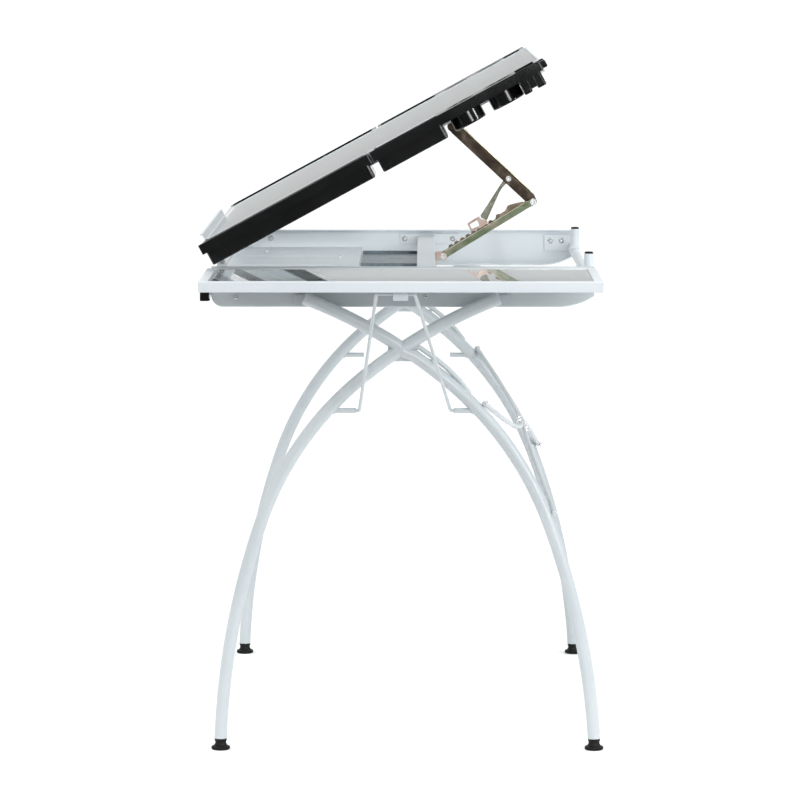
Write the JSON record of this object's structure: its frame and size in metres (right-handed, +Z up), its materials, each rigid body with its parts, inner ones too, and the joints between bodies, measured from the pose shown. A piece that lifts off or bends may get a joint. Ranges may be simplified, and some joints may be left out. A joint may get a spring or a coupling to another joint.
{
  "type": "drafting table",
  "caption": "Drafting table with a tilting glass top, toothed support arm, folding glass side shelf, lift-off trays and arched crossed tube legs.",
  "frame": {"origin": "centre of the footprint's bounding box, on the floor", "axes": "+Z up; -X is the user's side, where the top is low; -Y is the side with the folding shelf"},
  "size_m": [0.6344, 1.2296, 1.0837],
  "materials": {
    "white_paint": "smooth satin powder coat, faintly cool white",
    "clear_glass": "clear tempered float glass, polished edges",
    "black_tray_plastic": "injection-moulded black plastic, fine satin texture",
    "black_foot_plastic": "black moulded plastic",
    "galvanised_steel": "dull zinc-plated sheet with folded bright lip",
    "yellow_zinc": "yellow-green zinc passivate on pressed steel",
    "brown_zinc": "dark olive-brown zinc passivate on pressed steel",
    "copper_zinc": "copper-tinted passivate on spring strip",
    "bright_steel": "bright zinc-plated fasteners"
  },
  "bodies": {
    "stand": {"side_panel_near": "white_paint", "side_panel_far": "white_paint", "leg_near_front": "white_paint", "leg_near_back": "white_paint", "leg_near_back_upper": "white_paint", "leg_far_front": "white_paint", "leg_far_back": "white_paint", "leg_far_back_upper": "white_paint", "pivot_bracket_near": "white_paint", "pivot_bracket_far": "white_paint", "floor_pan": "white_paint", "steel_plate": "galvanised_steel", "mid_rail": "white_paint", "back_tube": "white_paint", "post_cap_near": "black_foot_plastic", "post_cap_far": "black_foot_plastic", "front_tube": "white_paint", "front_tube_cap_near": "black_foot_plastic", "front_tube_cap_far": "black_foot_plastic", "brace_upper": "white_paint", "brace_lower": "white_paint", "brace_bolt_near": "bright_steel", "brace_bolt_far": "bright_steel", "arm_bracket": "copper_zinc", "shelf_lug_front": "white_paint", "shelf_lug_back": "white_paint"},
    "top": {"top_rail_near": "white_paint", "top_rail_far": "white_paint", "top_rail_front": "white_paint", "top_rail_back": "white_paint", "cross_bar_front": "white_paint", "cross_bar_back": "white_paint", "top_glass": "clear_glass", "arm_hanger": "brown_zinc"},
    "pencil_ledge": {"pencil_ledge": "white_paint"},
    "tray_near_front": {"tray_near_front": "black_tray_plastic"},
    "tray_near_back": {"tray_near_back": "black_tray_plastic"},
    "tray_far_front": {"tray_far_front": "black_tray_plastic"},
    "tray_far_back": {"tray_far_back": "black_tray_plastic"},
    "lower_arm": {"lower_arm": "yellow_zinc", "tooth_rack": "yellow_zinc", "elbow_bolt": "bright_steel"},
    "upper_arm": {"upper_arm": "brown_zinc"},
    "strut": {"strut": "copper_zinc", "strut_clip": "copper_zinc"},
    "shelf": {"shelf_rail_outer": "white_paint", "shelf_rail_inner": "white_paint", "shelf_rail_front": "white_paint", "shelf_rail_back": "white_paint", "shelf_glass": "clear_glass"},
    "stay": {"stay": "white_paint", "stay_head_plate": "white_paint"},
    "leveler_near_front": {"leveler_near_front": "black_foot_plastic"},
    "leveler_near_back": {"leveler_near_back": "black_foot_plastic"},
    "leveler_far_front": {"leveler_far_front": "black_foot_plastic"},
    "leveler_far_back": {"leveler_far_back": "black_foot_plastic"}
  },
  "joints": [
    {"name": "top_tilt", "type": "hinge", "parent": "stand", "child": "top", "pos_m": [-0.28108, 0.09485, 0.766], "axis": [0, -1, 0], "range_deg": [-28.53, 6.5]},
    {"name": "ledge_slide", "type": "slide", "parent": "top", "child": "pencil_ledge", "axis": [0.4776, 0, -0.8786], "range_m": [0, 0.0115]},
    {"name": "tray_near_front_lift", "type": "slide", "parent": "top", "child": "tray_near_front", "axis": [-0.4776, 0, 0.8786], "range_m": [0, 0.05]},
    {"name": "tray_near_back_lift", "type": "slide", "parent": "top", "child": "tray_near_back", "axis": [-0.4776, 0, 0.8786], "range_m": [0, 0.05]},
    {"name": "tray_far_front_lift", "type": "slide", "parent": "top", "child": "tray_far_front", "axis": [-0.4776, 0, 0.8786], "range_m": [0, 0.05]},
    {"name": "tray_far_back_lift", "type": "slide", "parent": "top", "child": "tray_far_back", "axis": [-0.4776, 0, 0.8786], "range_m": [0, 0.05]},
    {"name": "lower_arm_swing", "type": "hinge", "parent": "stand", "child": "lower_arm", "pos_m": [0.06752, 0.09485, 0.7449], "axis": [0, -1, 0], "range_deg": [-81, 18.6]},
    {"name": "upper_arm_swing", "type": "hinge", "parent": "lower_arm", "child": "upper_arm", "pos_m": [0.21632, 0.09485, 0.8356], "axis": [0, -1, 0], "range_deg": [-12.7, 55.3]},
    {"name": "strut_swing", "type": "hinge", "parent": "upper_arm", "child": "strut", "pos_m": [0.1755, 0.09485, 0.87335], "axis": [0, -1, 0], "range_deg": [-81.6, 18.7]},
    {"name": "shelf_fold", "type": "hinge", "parent": "stand", "child": "shelf", "pos_m": [0.00792, -0.34915, 0.7385], "axis": [1, 0, 0], "range_deg": [0, 90]},
    {"name": "stay_swing", "type": "hinge", "parent": "stand", "child": "stay", "pos_m": [0.00792, -0.34215, 0.536], "axis": [1, 0, 0], "range_deg": [0, 130]},
    {"name": "leveler_near_front_turn", "type": "hinge", "parent": "stand", "child": "leveler_near_front", "pos_m": [-0.28381, -0.34215, 0], "axis": [0, 0, 1], "continuous": true},
    {"name": "leveler_near_back_turn", "type": "hinge", "parent": "stand", "child": "leveler_near_back", "pos_m": [0.30319, -0.34215, 0], "axis": [0, 0, 1], "continuous": true},
    {"name": "leveler_far_front_turn", "type": "hinge", "parent": "stand", "child": "leveler_far_front", "pos_m": [-0.28381, 0.53185, 0], "axis": [0, 0, 1], "continuous": true},
    {"name": "leveler_far_back_turn", "type": "hinge", "parent": "stand", "child": "leveler_far_back", "pos_m": [0.30319, 0.53185, 0], "axis": [0, 0, 1], "continuous": true}
  ],
  "couplings": [
    {"joint": "lower_arm_swing", "follows": "top_tilt", "ratio": 2.832},
    {"joint": "upper_arm_swing", "follows": "top_tilt", "ratio": -1.932},
    {"joint": "strut_swing", "follows": "top_tilt", "ratio": 2.85},
    {"joint": "stay_swing", "follows": "shelf_fold", "ratio": 1.441}
  ]
}
